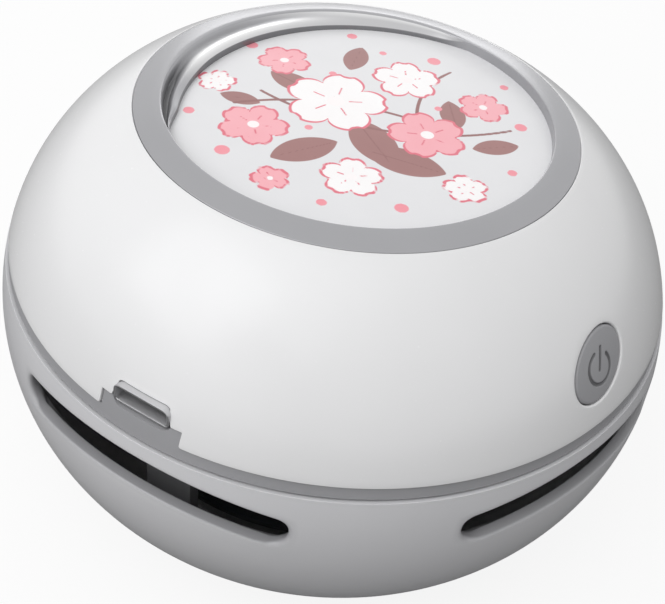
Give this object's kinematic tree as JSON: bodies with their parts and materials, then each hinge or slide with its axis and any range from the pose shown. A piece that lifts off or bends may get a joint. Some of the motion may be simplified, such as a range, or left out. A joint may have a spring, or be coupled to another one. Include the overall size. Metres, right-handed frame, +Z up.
{
  "type": "desktop mini vacuum cleaner",
  "caption": "Round palm-size desktop vacuum with a recessed printed top, side power button, charging port, exhaust slots, lift-off body, filter, dust cup and suction nozzle underneath.",
  "frame": {"origin": "on the table under the centre of the round body, at the height of the feet's lower faces", "axes": "+Z up along the body's round axis, -Y towards the charging port, +X to the port's right as seen from outside it"},
  "size_m": [0.088, 0.088, 0.0564],
  "materials": {
    "shell_white": "gloss",
    "trim_grey": "satin",
    "disc_print": "printed film under clear varnish",
    "frame_grey": "satin",
    "base_grey": "satin",
    "button_grey": "satin",
    "inner_black": "matte",
    "impeller_plastic": "satin",
    "filter_plastic": "satin",
    "filter_paper": "pleated paper",
    "rubber_dark": "matte",
    "smoky_clear": "smoky clear",
    "bristle_nylon": "bristles",
    "zinc_steel": "zinc plated",
    "can_steel": "satin",
    "endcap_plastic": "matte",
    "magnet_grey": "sintered",
    "bushing_bronze": "sintered",
    "armature_steel": "stacked sheet",
    "board_green": "solder mask",
    "component_black": "matte",
    "cell_wrap": "heat-shrink sleeve",
    "lead_red": "insulated wire"
  },
  "bodies": {
    "base": {"lower_shell": "base_grey", "rubber_feet": "rubber_dark", "suction_nozzle": "inner_black", "brush_ring": "bristle_nylon", "dust_cup": "smoky_clear"},
    "filter": {"filter_frame": "filter_plastic", "filter_media": "filter_paper", "filter_seal": "rubber_dark"},
    "upper_body": {"upper_shell": "shell_white", "top_ring": "trim_grey", "decor_disc": "disc_print", "mid_frame": "frame_grey", "intake_plate": "inner_black", "motor_can": "can_steel", "motor_end_cap": "endcap_plastic", "motor_magnets": "magnet_grey", "motor_bushings": "bushing_bronze", "motor_terminals": "bushing_bronze", "motor_leads": "lead_red", "motor_cushion": "rubber_dark", "frame_screws": "zinc_steel", "motor_screws": "zinc_steel", "plate_screws": "zinc_steel", "board_screws": "zinc_steel", "circuit_board": "board_green", "board_components": "component_black", "charging_socket": "can_steel", "socket_tongue": "component_black", "tactile_switch": "endcap_plastic", "switch_board": "board_green", "switch_screws": "zinc_steel", "switch_leads": "lead_red", "battery_cell": "cell_wrap", "protection_board": "board_green", "battery_cradle": "inner_black", "battery_leads": "lead_red"},
    "rotor": {"motor_shaft": "zinc_steel", "motor_armature": "armature_steel", "impeller": "impeller_plastic"},
    "button": {"power_button": "button_grey", "switch_plunger": "endcap_plastic"}
  },
  "joints": [
    {"name": "body_lift", "type": "slide", "parent": "base", "child": "upper_body", "axis": [0, 0, 1], "range_m": [0, 0.03]},
    {"name": "filter_lift", "type": "slide", "parent": "base", "child": "filter", "axis": [0, 0, 1], "range_m": [0, 0.015]},
    {"name": "fan_spin", "type": "hinge", "parent": "upper_body", "child": "rotor", "pos_m": [0, 0, 0.03], "axis": [0, 0, 1], "continuous": true},
    {"name": "button_press", "type": "slide", "parent": "upper_body", "child": "button", "axis": [-0.8303, 0.2225, -0.5109], "range_m": [0, 0.00045], "stiffness_N_per_m": 2500}
  ],
  "couplings": [
    {"joint": "filter_lift", "follows": "body_lift", "ratio": 0.5}
  ]
}
